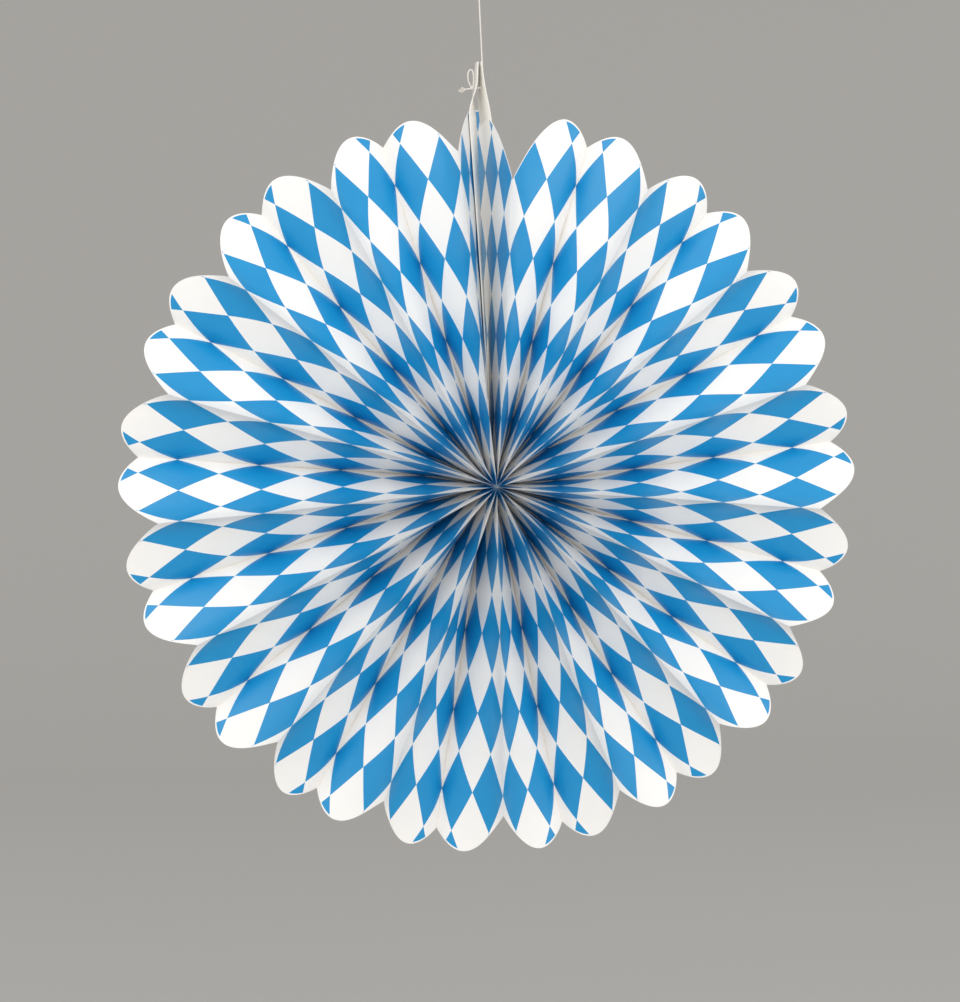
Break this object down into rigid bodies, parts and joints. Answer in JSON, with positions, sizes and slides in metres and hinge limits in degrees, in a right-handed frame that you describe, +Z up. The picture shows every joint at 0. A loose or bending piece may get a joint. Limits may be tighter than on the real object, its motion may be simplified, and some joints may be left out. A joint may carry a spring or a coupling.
{
  "type": "paper fan rosette",
  "caption": "Hanging fan rosette: one scalloped, lozenge-printed paper sheet pleated into a full circle, with white card strips at its seam and a string to hang it by.",
  "frame": {"origin": "where a hook bears, inside the top of the hanging loop", "axes": "+Z up along the taut string, -Y towards the side that the rosette's face looks to, +X to the right of a viewer in front"},
  "size_m": [0.5971, 0.1428, 0.7243],
  "materials": {
    "printed_paper": "semi-gloss blue lozenge print on white",
    "white_card": "matte white",
    "cotton_string": "twisted, undyed"
  },
  "bodies": {
    "root": {"pleated_paper": "printed_paper", "left_end_strip": "white_card", "right_end_strip": "white_card", "tie_knot": "cotton_string", "hanging_string": "cotton_string", "hanging_loop": "cotton_string"}
  },
  "joints": []
}
